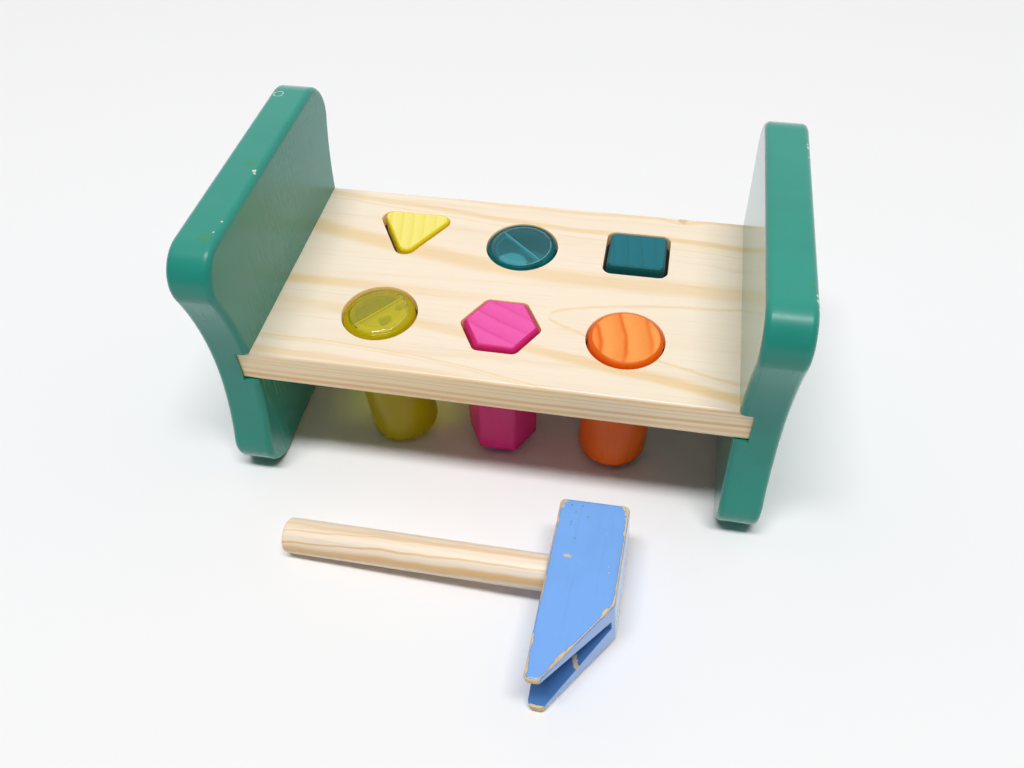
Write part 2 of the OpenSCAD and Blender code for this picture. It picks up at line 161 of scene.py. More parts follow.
class PaintSettings(bpy.types.PropertyGroup):
    """Satin paints of the end panels and of the hammer's head"""

    green: colour_setting("Panel green", "Paint of the two end panels", screen(42, 149, 132))
    smudge: colour_setting("Smudge", "Rubbed marks on the panels' tops", screen(60, 140, 84))
    blue: colour_setting("Head blue", "Paint of the hammer's head", screen(118, 174, 246))
    # The slot blue is painted shade: a darker paint colour for the inside of the slot, a recess that light
    # hardly reaches.
    slot_shade_blue: colour_setting("Slot blue", "Dull paint inside the head's slot", screen(74, 124, 186))
    bare_wood: colour_setting("Bare wood", "Wood where the paint is worn away", screen(232, 204, 160))
    chip: colour_setting("Chip", "Primer that shows in small chips", screen(225, 228, 205))
    wear_width: length_setting("Wear width", "How far wear reaches from an edge of the head", 1.0 * MM)


class PegSettings(bpy.types.PropertyGroup):
    """Stained wooden pegs"""

    # The side colours are darker and deeper than the end colours: part deeper stain on the long grain, part
    # painted shade on the sides.
    yellow: colour_setting("Yellow", "Ends of the triangle peg", screen(248, 231, 128))
    yellow_side: colour_setting("Yellow side", "Sides of the triangle peg", screen(238, 214, 30))
    teal: colour_setting("Teal", "Ends of the square peg", screen(16, 108, 121))
    teal_side: colour_setting("Teal side", "Sides of the square peg", screen(6, 90, 96))
    magenta: colour_setting("Magenta", "Ends of the hexagon peg", screen(240, 94, 174))
    magenta_side: colour_setting("Magenta side", "Sides of the hexagon peg", screen(220, 40, 120))
    orange: colour_setting("Orange", "Ends of the round peg", screen(255, 160, 80))
    orange_side: colour_setting("Orange side", "Sides of the round peg", screen(240, 100, 8))
    yellow_rim: length_setting("Yellow rim", "Rounding of the triangle peg's ends", 1.5 * MM)
    teal_rim: length_setting("Teal rim", "Rounding of the square peg's ends", 1.6 * MM)
    magenta_rim: length_setting("Magenta rim", "Rounding of the hexagon peg's ends", 2.3 * MM)
    orange_rim: length_setting("Orange rim", "Rounding of the round peg's ends", 2.7 * MM)


class ClearSettings(bpy.types.PropertyGroup):
    """Clear tinted plastic pegs"""

    lime: colour_setting("Lime", "Tint of the lime peg", screen(238, 238, 120))
    # The glow, pale and shoulder colours are painted light: light caught in the plastic, light on the
    # dividing wall's edge, and light in the rounded shoulder.
    lime_glow: colour_setting("Lime glow", "Light caught in the lime plastic", screen(205, 202, 66))
    lime_pale: colour_setting("Lime pale", "Light caught by the lime dividing wall", screen(240, 226, 70))
    lime_shoulder: colour_setting("Lime shoulder", "Rounded shoulder of the lime peg", screen(216, 198, 16))
    teal: colour_setting("Teal", "Tint of the clear teal peg", screen(130, 216, 224))
    teal_glow: colour_setting("Teal glow", "Light caught in the teal plastic", screen(0, 138, 146))
    teal_pale: colour_setting("Teal pale", "Light caught by the teal dividing wall", screen(110, 205, 212))
    teal_shoulder: colour_setting("Teal shoulder", "Rounded shoulder of the teal peg", screen(0, 118, 120))
    roughness: FloatProperty(
        name="Roughness", description="How frosted the plastic is", default=0.03,
        subtype="FACTOR", min=0, max=1,
    )
    # Share of the plastic's shader that wears the painted caught light.
    painted_haze: FloatProperty(
        name="Haze", description="Share of light that the plastic catches", default=0.34,
        subtype="FACTOR", min=0, max=1,
    )


class StageSettings(bpy.types.PropertyGroup):
    """Studio: floor, light and camera"""

    floor: colour_setting("Floor", "Colour of the seamless floor", screen(248, 248, 249))
    lamp_power: FloatProperty(
        name="Lamp", description="Power of the soft lamp", default=211, unit="POWER", min=0
    )
    lamp_place: FloatVectorProperty(
        name="Lamp place", description="Where the soft lamp hangs", subtype="TRANSLATION", unit="LENGTH",
        default=(0.06, -0.88, 4.9),
    )
    lamp_width: length_setting("Lamp width", "Length of the soft lamp, from left to right", 3.8)
    lamp_depth: length_setting("Lamp depth", "Length of the soft lamp, from front to back", 0.7)
    sky: FloatProperty(name="Sky", description="Strength of the light from all round", default=0.42, min=0)
    backdrop: FloatProperty(name="Backdrop", description="Brightness of the backdrop", default=0.92, min=0)
    front_fill: FloatProperty(
        name="Front fill", description="Share of the light from all round that the front gives",
        default=0.1, min=0,
    )
    dark_side: FloatProperty(
        name="Dark side", description="Brightness of the room behind the camera in reflections",
        default=0.02, min=0,
    )
    camera_place: FloatVectorProperty(
        name="Camera place", description="Where the camera stands", subtype="TRANSLATION", unit="LENGTH",
        default=(0.067117, -0.314960, 0.371845),
    )
    camera_turn: FloatVectorProperty(
        name="Camera turn", description="Tilt, roll and pan of the camera", subtype="EULER", unit="ROTATION",
        default=tuple(math.radians(angle) for angle in (41.3136, 1.6074, 10.4730)),
    )
    lens: FloatProperty(name="Lens", description="Focal length, millimetres", default=30.987, min=1)


class BenchSettings(bpy.types.PropertyGroup):
    """All settings of the pounding bench"""

    pine: PointerProperty(type=PineSettings)
    paint: PointerProperty(type=PaintSettings)
    pegs: PointerProperty(type=PegSettings)
    clear: PointerProperty(type=ClearSettings)
    stage: PointerProperty(type=StageSettings)


# Material recipes


class Recipe:
    """The nodes of one material, wired as they are added."""

    def __init__(self, name):
        self.material = bpy.data.materials.new(name)
        self.material.use_nodes = True
        self.open(self.material.node_tree)

    @classmethod
    def inside(cls, world):
        """A recipe that fills a world instead of a material."""
        recipe = cls.__new__(cls)
        recipe.open(world.node_tree)
        return recipe

    def open(self, tree):
        self.nodes = tree.nodes
        self.links = tree.links
        self.nodes.clear()

    def add(self, kind, inputs=None, output=0, **settings):
        node = self.nodes.new("ShaderNode" + kind)
        for key, value in settings.items():
            setattr(node, key, value)
        for key, value in (inputs or {}).items():
            if isinstance(value, bpy.types.NodeSocket):
                self.links.new(value, node.inputs[key])
            else:
                node.inputs[key].default_value = value
        return node.outputs[output]

    def math(self, operation, a, b=0.0):
        return self.add("Math", {0: a, 1: b}, operation=operation)

    def times(self, a, b):
        return self.add("Math", {0: a, 1: b}, operation="MULTIPLY")

    def rest_of(self, share):
        """What a share leaves of one."""
        return self.math("SUBTRACT", 1.0, share)

    def swing(self, noise, width):
        """Noise turned into a value that swings by up to half the width about nothing."""
        return self.times(self.math("SUBTRACT", noise, 0.5), width)

    def split(self, point):
        """The three coordinates of a point."""
        return self.add("SeparateXYZ", {0: point}).node.outputs

    def vector(self, operation, a, b=(0, 0, 0), output=0):
        return self.add("VectorMath", {0: a, 1: b}, output=output, operation=operation)

    def point(self, placement=None):
        """The shaded point in the object's own frame, or in the frame of a placement matrix."""
        coords = self.add("TexCoord", output=3)
        if placement is None:
            return coords
        back = placement.inverted()
        return self.add("Mapping", {
            "Vector": coords, "Location": back.to_translation(), "Rotation": back.to_euler("XYZ")
        })

    def stretched(self, point, scale):
        return self.vector("MULTIPLY", point, scale)

    def noise(self, point, scale, detail=3.0, roughness=0.5):
        return self.add("TexNoise", {
            "Vector": point, "Scale": scale, "Detail": detail, "Roughness": roughness
        })

    def ramp(self, value, low, high, start=0.0, end=1.0, smooth=True):
        """Value mapped from low..high to start..end, without overshoot."""
        return self.add("MapRange", {
            "Value": value, "From Min": low, "From Max": high, "To Min": start, "To Max": end
        }, interpolation_type="SMOOTHSTEP" if smooth else "LINEAR")

    def mix(self, factor, a, b):
        return self.add("Mix", {0: factor, 6: a, 7: b}, output=2, data_type="RGBA")

    def shade(self, value, colour, share):
        """Colour made up to `share` darker where value falls from 1 to 0."""
        level = self.ramp(value, 0.0, 1.0, 1.0 - share, 1.0)
        return self.add(
            "Mix", {0: 1.0, 6: colour, 7: level}, output=2, data_type="RGBA", blend_type="MULTIPLY"
        )

    def bump(self, height, distance, strength=1.0):
        return self.add("Bump", {"Height": height, "Distance": distance, "Strength": strength})

    def principled(self, colour, roughness, normal, **sockets):
        inputs = {"Base Color": colour, "Roughness": roughness, "Normal": normal}
        inputs.update({key.replace("_", " "): value for key, value in sockets.items()})
        return self.finish(self.add("BsdfPrincipled", inputs))

    def finish(self, shader):
        output = self.nodes.new("ShaderNodeOutputMaterial")
        self.links.new(shader, output.inputs["Surface"])
        return self.material


def growth_rings(recipe, point, pith, spacing, wander, reach):
    """Late-wood mask of a log that grows along X, whose pith crosses the Y-Z plane at `pith`.

    The rings wander sideways by up to `wander` over stretches of about `reach`.
    """
    slow = recipe.noise(recipe.stretched(point, (1 / reach, 7, 7)), 1.0, 2.0)
    fine = recipe.noise(recipe.stretched(point, (6 / reach, 60, 60)), 1.0, 3.0)
    split = recipe.split(point)
    across = recipe.math("SUBTRACT", split[1], pith[0])
    down = recipe.math("SUBTRACT", split[2], pith[1])
    square = recipe.math("ADD", recipe.times(across, across), recipe.times(down, down))
    radius = recipe.math("SQRT", square)
    drift = recipe.swing(slow, 2 * wander)
    shiver = recipe.swing(fine, 0.35 * spacing)
    moved = recipe.math("ADD", recipe.math("ADD", radius, drift), shiver)
    year = recipe.math("FRACT", recipe.math("DIVIDE", moved, spacing))
    broad = recipe.times(recipe.ramp(year, 0.1, 0.8), recipe.ramp(year, 0.84, 1.0, 1.0, 0.0))
    thin = recipe.times(recipe.ramp(year, 0.68, 0.82), recipe.ramp(year, 0.84, 0.96, 1.0, 0.0))
    patchy = recipe.noise(recipe.stretched(point, (2 / reach, 25, 25)), 1.0, 1.0)
    strength = recipe.ramp(patchy, 0.3, 0.7, 0.25, 1.0)
    late = recipe.math("ADD", recipe.times(broad, 0.45), recipe.times(thin, 0.55))
    return recipe.times(late, strength)


def grain_bands(recipe, along, across, bands, unit):
    """Mask of soft bands that follow the grain, where along runs from -1 to 1.

    Each band is given, in units, by its place at the start, in the middle and at the end and its
    half width, and then by its strength at the start and at the end.
    """
    total = 0.0
    for places, (first, last) in bands:
        start, middle, end, half = (place * unit for place in places)
        slope = recipe.math("ADD", (end - start) / 2, recipe.times(along, (start + end) / 2 - middle))
        place = recipe.math("ADD", middle, recipe.times(along, slope))
        off = recipe.math("ABSOLUTE", recipe.math("SUBTRACT", across, place))
        mask = recipe.ramp(off, 0.3 * half, 1.2 * half, 1.0, 0.0)
        strength = recipe.ramp(along, -1.0, 1.0, first, last, smooth=False)
        total = recipe.math("MAXIMUM", total, recipe.times(mask, strength))
    return total


def fibres(recipe, point, along=(20, 900, 900)):
    """Fine streaks that run along X."""
    return recipe.noise(recipe.stretched(point, along), 1.0, 4.0, 0.6)


def spots(recipe, point, places, ragged=0.6):
    """Mask of small ragged spots, each given by its place and its radius."""
    rough = recipe.noise(point, 1400.0, 3.0, 0.7)
    total = None
    for place, radius in places:
        gap = recipe.vector("DISTANCE", point, place, output=1)
        share = recipe.math("DIVIDE", gap, radius)
        share = recipe.math("ADD", share, recipe.swing(rough, 3 * ragged))
        mask = recipe.ramp(share, 0.8, 1.0, 1.0, 0.0)
        total = mask if total is None else recipe.math("MAXIMUM", total, mask)
    return total


def pine_board_material(pine, half_length, half_depth, low, high):
    """Flat-sawn pine: broad bands and a flame on the faces, tight stripes on the edges, one knot, and a
    painted glow on the edges and hole walls.
    """
    recipe = Recipe("pine board")
    point = recipe.point()
    split = recipe.split(point)
    knot_place = Vector((80, 62.5, 79.5)) * MM
    to_knot = recipe.vector("DISTANCE", point, knot_place, output=1)
    streaks = fibres(recipe, point)
    wander = recipe.noise(recipe.stretched(point, (16, 10, 10)), 1.0, 2.0)
    wander = recipe.swing(wander, 5.0 * MM)
    shiver = recipe.swing(streaks, 2.4 * MM)
    pull = recipe.ramp(to_knot, 0.0, 14 * MM, 3.0 * MM, 0.0)
    across = recipe.math("ADD", split[1], recipe.math("ADD", wander, recipe.math("ADD", shiver, pull)))
    along = recipe.math("DIVIDE", split[0], half_length)
    broad = grain_bands(recipe, along, across, BOARD_BANDS, MM)
    flame_tip = 21 * MM
    past_tip = recipe.math("DIVIDE", recipe.math("SUBTRACT", split[0], flame_tip), MM)
    past_tip = recipe.math("MAXIMUM", past_tip, 0.0)
    opening = recipe.times(recipe.math("POWER", past_tip, 0.6), 1.6 * MM)
    middle = recipe.ramp(split[0], flame_tip, 112 * MM, -18.5 * MM, -24.5 * MM)
    from_middle = recipe.math("ABSOLUTE", recipe.math("SUBTRACT", across, middle))
    flame = recipe.math("ABSOLUTE", recipe.math("SUBTRACT", from_middle, opening))
    flame = recipe.ramp(flame, 0.3 * MM, 1.3 * MM, 1.0, 0.0)
    flame = recipe.times(flame, recipe.ramp(past_tip, 0.0, 2.0))
    mask = recipe.math("MAXIMUM", broad, recipe.times(flame, 0.6))
    board_middle = 70 * MM
    pith = (4 * MM, board_middle - pine.pith_depth)
    rings = growth_rings(recipe, point, pith, pine.ring_spacing, 5.5 * MM, 0.16)
    colour = recipe.mix(recipe.times(rings, 0.3), linear(pine.light), linear(pine.dark))
    colour = recipe.mix(mask, colour, linear(pine.band))
    on_edge = recipe.split(recipe.add("NewGeometry", output=1))[2]
    on_edge = recipe.ramp(recipe.math("ABSOLUTE", on_edge), 0.45, 0.75, 1.0, 0.0)
    wave = recipe.noise(recipe.stretched(point, (14, 30, 5)), 1.0, 2.0)
    up = recipe.math("ADD", split[2], recipe.swing(wave, 2.6 * MM))
    stripes = grain_bands(recipe, along, up, EDGE_BANDS, MM)
    edge_wood = recipe.mix(stripes, linear(pine.edge), linear(pine.stripe))
    colour = recipe.mix(on_edge, colour, edge_wood)
    colour = recipe.shade(recipe.ramp(streaks, 0.3, 0.6), colour, 0.03)
    ragged = recipe.math("ADD", to_knot, recipe.times(recipe.noise(point, 500.0), 3.0 * MM))
    knot_mask = recipe.ramp(ragged, 2.6 * MM, 5.2 * MM, 0.6, 0.0)
    colour = recipe.mix(knot_mask, colour, linear(pine.knot))
    height = recipe.math("SUBTRACT", streaks, recipe.times(mask, 0.5))
    # Painted glow: an emission in the stripe colour lights every edge a little, and the hole walls within 2.5
    # mm of the top and bottom faces more. It is painted light for light that would pass through the wood.
    inside = recipe.ramp(recipe.math("ABSOLUTE", split[1]), half_depth - 2 * MM, half_depth - MM, 1.0, 0.0)
    from_top = recipe.math("SUBTRACT", high, split[2])
    from_face = recipe.math("MINIMUM", from_top, recipe.math("SUBTRACT", split[2], low))
    glow = recipe.times(recipe.ramp(from_face, 0.0, 2.5 * MM, 1.0, 0.0), recipe.times(on_edge, inside))
    glow = recipe.math("ADD", recipe.times(glow, 0.3), recipe.times(on_edge, 0.07))
    return recipe.principled(
        colour, recipe.ramp(streaks, 0.2, 0.8, 0.26, 0.36), recipe.bump(height, 0.03 * MM, 0.25),
        Emission_Color=linear(pine.stripe), Emission_Strength=glow,
    )


def handle_material(pine, placement, length):
    """Turned pine dowel: wavy bands of late wood that wind a little round it; the broad band on its front
    side is part late wood, part painted warm shade.
    """
    recipe = Recipe("handle pine")
    point = recipe.point(placement)
    split = recipe.split(point)
    rings = growth_rings(recipe, point, (9 * MM, -14 * MM), pine.handle_spacing, 2.2 * MM, 0.12)
    streaks = fibres(recipe, point)
    turn = recipe.math("ARCTAN2", recipe.times(split[1], -1.0), split[2])
    wander = recipe.noise(recipe.stretched(point, (30, 12, 12)), 1.0, 2.0)
    turn = recipe.math("ADD", turn, recipe.swing(wander, 0.5))
    turn = recipe.math("ADD", turn, recipe.swing(streaks, 0.16))
    along = recipe.ramp(split[0], -length, 0.0, -1.0, 1.0, smooth=False)
    bands = grain_bands(recipe, along, turn, HANDLE_BANDS, math.radians(1))
    colour = recipe.mix(recipe.times(rings, 0.35), linear(pine.light), linear(pine.dark))
    colour = recipe.mix(bands, colour, linear(pine.stripe))
    colour = recipe.shade(recipe.ramp(streaks, 0.3, 0.6), colour, 0.06)
    return recipe.principled(
        colour, recipe.ramp(streaks, 0.2, 0.8, 0.4, 0.55), recipe.bump(streaks, 0.05 * MM, 0.5),
        Coat_Weight=0.15, Coat_Roughness=0.3,
    )


def dowel_material(pine):
    """Plain turned wood of the hidden dowels."""
    recipe = Recipe("dowel wood")
    streaks = fibres(recipe, recipe.point())
    colour = recipe.mix(streaks, linear(pine.light), linear(pine.dark))
    return recipe.principled(colour, 0.6, recipe.bump(streaks, 0.05 * MM, 0.5))


def panel_paint_material(paint, name, chips, smudges, ring_scratch):
    """Satin green paint over upright grain, with small chips and rubbed marks."""
    recipe = Recipe(name)
    point = recipe.point()
    grain = recipe.noise(recipe.stretched(point, (420, 420, 28)), 1.0, 5.0, 0.65)
    clouds = recipe.noise(point, 24.0, 3.0)
    colour = recipe.shade(recipe.ramp(clouds, 0.3, 0.7), linear(paint.green), 0.07)
    colour = recipe.shade(recipe.ramp(grain, 0.28, 0.42), colour, 0.04)
    rubbed = recipe.times(spots(recipe, point, smudges, 0.9), 0.55)
    colour = recipe.mix(rubbed, colour, linear(paint.smudge))
    chipped = spots(recipe, point, chips)
    if ring_scratch:
        middle, radius, line = ring_scratch
        gap = recipe.vector("DISTANCE", point, middle, output=1)
        wobble = recipe.times(recipe.noise(point, 330.0, 2.0), 1.2 * MM)
        off = recipe.math("ABSOLUTE", recipe.math("SUBTRACT", recipe.math("ADD", gap, wobble), radius))
        broken = recipe.ramp(recipe.noise(point, 260.0, 1.0), 0.30, 0.38)
        scratch = recipe.times(recipe.ramp(off, 0.6 * line, line, 1.0, 0.0), broken)
        chipped = recipe.math("MAXIMUM", chipped, recipe.times(scratch, 0.7))
    colour = recipe.mix(chipped, colour, linear(paint.chip))
    peel = recipe.noise(point, 900.0, 2.0)
    height = recipe.math("ADD", grain, recipe.times(peel, 0.25))
    height = recipe.math("SUBTRACT", height, recipe.times(chipped, 2.0))
    grazing = recipe.add("LayerWeight", {"Blend": 0.5}, output=1)
    sheen = recipe.ramp(grazing, 0.4, 0.9, 0.34, 0.08)
    roughness = recipe.math("ADD", sheen, recipe.ramp(grain, 0.3, 0.7, 0.0, 0.05))
    return recipe.principled(
        colour, roughness, recipe.bump(height, 0.015 * MM, 0.08), Specular_IOR_Level=0.2,
        Coat_Weight=1.0, Coat_IOR=1.22, Coat_Roughness=0.25,
    )


def stain_material(name, colour, deep_stain_and_shade_colour, height, rim, pith, spacing, contrast):
    """Stained peg: its log grows along Z, so the ends show rings and the sides show stripes."""
    recipe = Recipe(name)
    point = recipe.point()
    upright = recipe.add("Mapping", {"Vector": point, "Rotation": (0.0, math.radians(90), 0.0)})
    rings = growth_rings(recipe, upright, pith, spacing, 0.9 * MM, 0.09)
    streaks = fibres(recipe, upright, (25, 1100, 1100))
    pores = recipe.noise(point, 1900.0, 2.0)
    level = recipe.split(point)[2]
    from_middle = recipe.math("ABSOLUTE", recipe.math("SUBTRACT", level, height / 2))
    # The end colour stops just inside the rounded rim. The rest of the rim and the sides take the side
    # colour, which is part deeper stain and part painted shade.
    end = recipe.ramp(from_middle, height / 2 - 0.09 * rim, height / 2 - 0.01 * rim)
    pale = tuple(min(1.0, c + 0.03) for c in colour)
    tone = recipe.mix(recipe.ramp(streaks, 0.3, 0.7), linear(colour), linear(pale))
    tone = recipe.mix(recipe.times(rings, contrast), tone, linear(deep_stain_and_shade_colour))
    tone = recipe.shade(recipe.ramp(pores, 0.25, 0.4), tone, 0.06)
    side = recipe.shade(recipe.ramp(streaks, 0.3, 0.6), linear(deep_stain_and_shade_colour), 0.08)
    return recipe.principled(
        recipe.mix(end, side, tone), recipe.ramp(streaks, 0.2, 0.8, 0.34, 0.44),
        recipe.bump(streaks, 0.03 * MM, 0.3), Specular_IOR_Level=0.18,
    )


def clear_material(
    name, clear, tints, placement, height, disc_radius, web_turn, front_light, light_patch_places
):
    """Tinted clear plastic of a hollow peg.

    The peg's end is a clear disc inside a deeper shoulder. Part of the shader is a diffuse, translucent
    colour that paints light: light caught by the dividing wall below the disc, lighter or darker
    patches in front of that wall, the shoulder, and rings at the peg's seams. A painted highlight
    runs along the disc's step, at its front and right.
    """
    tint, glow, pale, shoulder = (linear(colour) for colour in tints)
    bright = tuple((value + 1.0) / 2 for value in pale)
    recipe = Recipe(name)
    point = recipe.point(placement)
    right, back, level = recipe.split(point)
    near_top = recipe.ramp(level, height - 6 * MM, height - 4 * MM)
    flat = recipe.vector("MULTIPLY", point, (1, 1, 0))
    from_axis = recipe.vector("LENGTH", flat, output=1)
    outside = recipe.ramp(from_axis, disc_radius - 0.2 * MM, disc_radius + 0.7 * MM)
    disc = recipe.times(recipe.rest_of(outside), near_top)
    wall = recipe.times(recipe.ramp(from_axis, disc_radius - 3.6 * MM, disc_radius - 3.2 * MM), disc)
    across = (math.sin(web_turn), -math.cos(web_turn), 0)
    before_web = recipe.vector("DOT_PRODUCT", point, across, output=1)
    from_web = recipe.math("ABSOLUTE", before_web)
    web = recipe.times(recipe.ramp(from_web, 0.3 * MM, 0.65 * MM, 1.0, 0.0), disc)
    front = recipe.times(recipe.ramp(before_web, 0.4 * MM, 1.2 * MM), disc)
    patches = recipe.times(spots(recipe, flat, light_patch_places, 0.05), front)
    # Painted light: thin rings near each end of the peg, at the seam and at the lip, take the caught colour.
    end = recipe.math("MINIMUM", level, recipe.math("SUBTRACT", height, level))
    seam = recipe.math("ABSOLUTE", recipe.math("SUBTRACT", end, 2.4 * MM))
    seam = recipe.ramp(seam, 0.3 * MM, 0.6 * MM, 1.0, 0.0)
    lip = recipe.ramp(end, 0.3 * MM, 1.3 * MM, 1.0, 0.0)
    rings = recipe.times(recipe.math("MAXIMUM", seam, lip), recipe.rest_of(near_top))
    scuffs = recipe.noise(point, 700.0, 3.0, 0.7)
    step = recipe.ramp(from_axis, disc_radius - 0.9 * MM, disc_radius + 0.2 * MM, 1.0, 0.0, smooth=False)
    height_field = recipe.math("ADD", recipe.times(scuffs, 0.005), recipe.times(step, near_top))
    on_step = recipe.times(recipe.math("GREATER_THAN", step, 0.0), recipe.math("LESS_THAN", step, 1.0))
    # Painted highlight: a near-white arc on the disc's step, at its front and right, fixed in place whatever
    # the light.
    turn = recipe.math("ADD", recipe.math("ARCTAN2", back, right), math.radians(40))
    painted_glint = recipe.ramp(recipe.math("ABSOLUTE", turn), math.radians(55), math.radians(85), 1.0, 0.0)
    off_step = recipe.math("ABSOLUTE", recipe.math("SUBTRACT", from_axis, disc_radius - 0.3 * MM))
    painted_glint = recipe.times(painted_glint, recipe.ramp(off_step, 0.15 * MM, 0.45 * MM, 0.8, 0.0))
    painted_glint = recipe.times(painted_glint, recipe.ramp(recipe.noise(point, 70.0), 0.4, 0.6, 0.3, 1.0))
    painted_glint = recipe.times(painted_glint, near_top)
    plastic = recipe.add("BsdfPrincipled", {
        "Base Color": tint, "Transmission Weight": 1.0, "IOR": 1.49,
        "Roughness": recipe.ramp(scuffs, 0.3, 0.75, clear.roughness, 3 * clear.roughness),
        "Normal": recipe.bump(height_field, 0.57 * MM),
    })
    # Painted light: the side in front of the dividing wall, the patches, the inner wall's ring, the wall's
    # edge and the end rings add up to one share of caught light.
    front_share, patch_share = front_light
    patches = recipe.times(patches, patch_share)
    painted_light = recipe.math("ADD", recipe.times(front, front_share), patches)
    painted_light = recipe.math("ADD", painted_light, recipe.times(wall, 0.15))
    painted_light = recipe.math("MAXIMUM", recipe.math("MAXIMUM", painted_light, web), recipe.times(rings, 0.5))
    caught = recipe.mix(outside, recipe.mix(painted_light, glow, pale), shoulder)
    caught = recipe.mix(painted_glint, caught, bright)
    # The caught colour, which is painted light, is worn by a diffuse and translucent shader. Its share rises
    # with that painted light and on the shoulder.
    painted_haze = recipe.add("MixShader", {
        0: 0.5, 1: recipe.add("BsdfDiffuse", {"Color": caught}),
        2: recipe.add("BsdfTranslucent", {"Color": caught}),
    })
    share = recipe.math("ADD", clear.painted_haze, recipe.times(painted_light, 0.45))
    share = recipe.math("MAXIMUM", share, recipe.times(outside, recipe.ramp(near_top, 0.0, 1.0, 0.6, 0.8)))
    share = recipe.times(share, recipe.rest_of(recipe.times(on_step, 0.75)))
    share = recipe.math("MAXIMUM", share, painted_glint)
    body = recipe.add("MixShader", {0: share, 1: plastic, 2: painted_haze})
    shadow = recipe.times(recipe.add("LightPath", output=1), 0.85)
    return recipe.finish(recipe.add("MixShader", {
        0: shadow, 1: body, 2: recipe.add("BsdfTransparent", {"Color": tint})
    }))


def rubber_material():
    """Matt dark rubber of the grip rings."""
    recipe = Recipe("grip rubber")
    dust = recipe.noise(recipe.point(), 800.0, 3.0)
    colour = recipe.mix(dust, linear(screen(22, 22, 24)), linear(screen(46, 45, 44)))
    return recipe.principled(colour, 0.75, recipe.bump(dust, 0.05 * MM, 0.4))


def head_paint_material(paint, placement, size, outline, slot, marks):
    """Blue paint, worn to bare wood in a ragged band along the edges of the head's faces, with painted shade
    inside the slot.
    """
    recipe = Recipe("worn blue paint")
    point = recipe.point(placement)
    sideways, along, depth = recipe.split(point)
    low, high = size
    nearness = None
    shares = (1.0, 1.0, 1.0, 0.6, 1.0)
    for start, end, share in zip(outline, outline[1:] + outline[:1], shares):
        run = (Vector(end) - Vector(start)).normalized()
        inward = (-run.y, run.x, 0.0)
        base = inward[0] * start[0] + inward[1] * start[1]
        reach = recipe.math("SUBTRACT", recipe.vector("DOT_PRODUCT", point, inward, output=1), base)
        reach = recipe.math("MAXIMUM", reach, 0.05 * MM)
        near = recipe.math("DIVIDE", share * MM, reach)
        near = recipe.times(near, near)
        nearness = near if nearness is None else recipe.math("ADD", nearness, near)
    edge = recipe.math("DIVIDE", MM, recipe.math("SQRT", nearness))
    from_top = recipe.math("SUBTRACT", high, depth)
    from_face = recipe.math("MINIMUM", from_top, recipe.math("SUBTRACT", depth, low))
    from_edge = recipe.math("MAXIMUM", edge, recipe.times(from_face, 1.5))
    coarse = recipe.noise(point, 120.0, 2.0)
    ragged = recipe.noise(point, 700.0, 4.0, 0.65)
    width = recipe.times(recipe.ramp(coarse, 0.45, 0.72, 0.8, 1.6), paint.wear_width)
    kept = recipe.ramp(along, -38 * MM, -35 * MM)
    kept = recipe.times(kept, recipe.ramp(along, -24 * MM, -21 * MM, 1.0, 0.0))
    kept = recipe.times(kept, recipe.ramp(sideways, 4 * MM, 6 * MM, 1.0, 0.0))
    width = recipe.times(width, recipe.rest_of(kept))
    width = recipe.math("ADD", width, recipe.swing(ragged, 0.7 * MM))
    margin = recipe.math("SUBTRACT", width, from_edge)
    from_tip = recipe.math("SUBTRACT", along, outline[0][1])
    tip_margin = recipe.math("SUBTRACT", recipe.times(ragged, 2.0 * MM), from_tip)
    margin = recipe.math("MAXIMUM", margin, tip_margin)
    worn = recipe.ramp(margin, -0.06 * MM, 0.06 * MM)
    lip = recipe.times(recipe.ramp(margin, -0.4 * MM, -0.05 * MM), recipe.rest_of(worn))
    chipped, dents = (spots(recipe, point, places, 0.5) for places in marks)
    worn = recipe.math("MAXIMUM", worn, recipe.times(chipped, 0.85))
    grain = recipe.noise(recipe.stretched(point, (420, 26, 420)), 1.0, 5.0, 0.6)
    blue = recipe.shade(recipe.ramp(recipe.noise(point, 40.0), 0.3, 0.7), linear(paint.blue), 0.06)
    blue = recipe.shade(recipe.ramp(grain, 0.3, 0.5), blue, 0.04)
    blue = recipe.mix(recipe.times(dents, 0.5), blue, linear(paint.smudge))
    # Painted shade: the inside of the slot takes the darker slot blue, with a duller, uncoated finish.
    middle, mouth, inner_end, depth_in = slot
    from_end = recipe.math("SUBTRACT", depth_in, along)
    half = recipe.ramp(from_end, 0.0, depth_in - outline[0][1], inner_end / 2, mouth / 2, smooth=False)
    off_middle = recipe.math("ABSOLUTE", recipe.math("SUBTRACT", depth, middle))
    inside = recipe.ramp(recipe.math("SUBTRACT", off_middle, half), 0.1 * MM, 0.4 * MM, 1.0, 0.0)
    inside = recipe.times(inside, recipe.ramp(from_end, -0.3 * MM, -0.1 * MM))
    blue = recipe.mix(inside, blue, linear(paint.slot_shade_blue))
    wood = recipe.shade(recipe.ramp(grain, 0.25, 0.65), linear(paint.bare_wood), 0.18)
    colour = recipe.mix(worn, blue, wood)
    colour = recipe.shade(recipe.rest_of(lip), colour, 0.25)
    height = recipe.math("SUBTRACT", recipe.times(grain, 0.5), recipe.math("MAXIMUM", worn, dents))
    dull = recipe.math("MAXIMUM", worn, inside)
    return recipe.principled(
        colour, recipe.ramp(dull, 0.0, 1.0, 0.28, 0.7), recipe.bump(height, 0.06 * MM, 0.5),
        Specular_IOR_Level=0.15, Coat_Weight=recipe.rest_of(dull), Coat_IOR=1.42,
        Coat_Roughness=0.12,
    )


# Meshes


def give(node, material):
    """Puts one material on a CAD node."""
    for slot in NODES[node].material_slots:
        slot.material = material


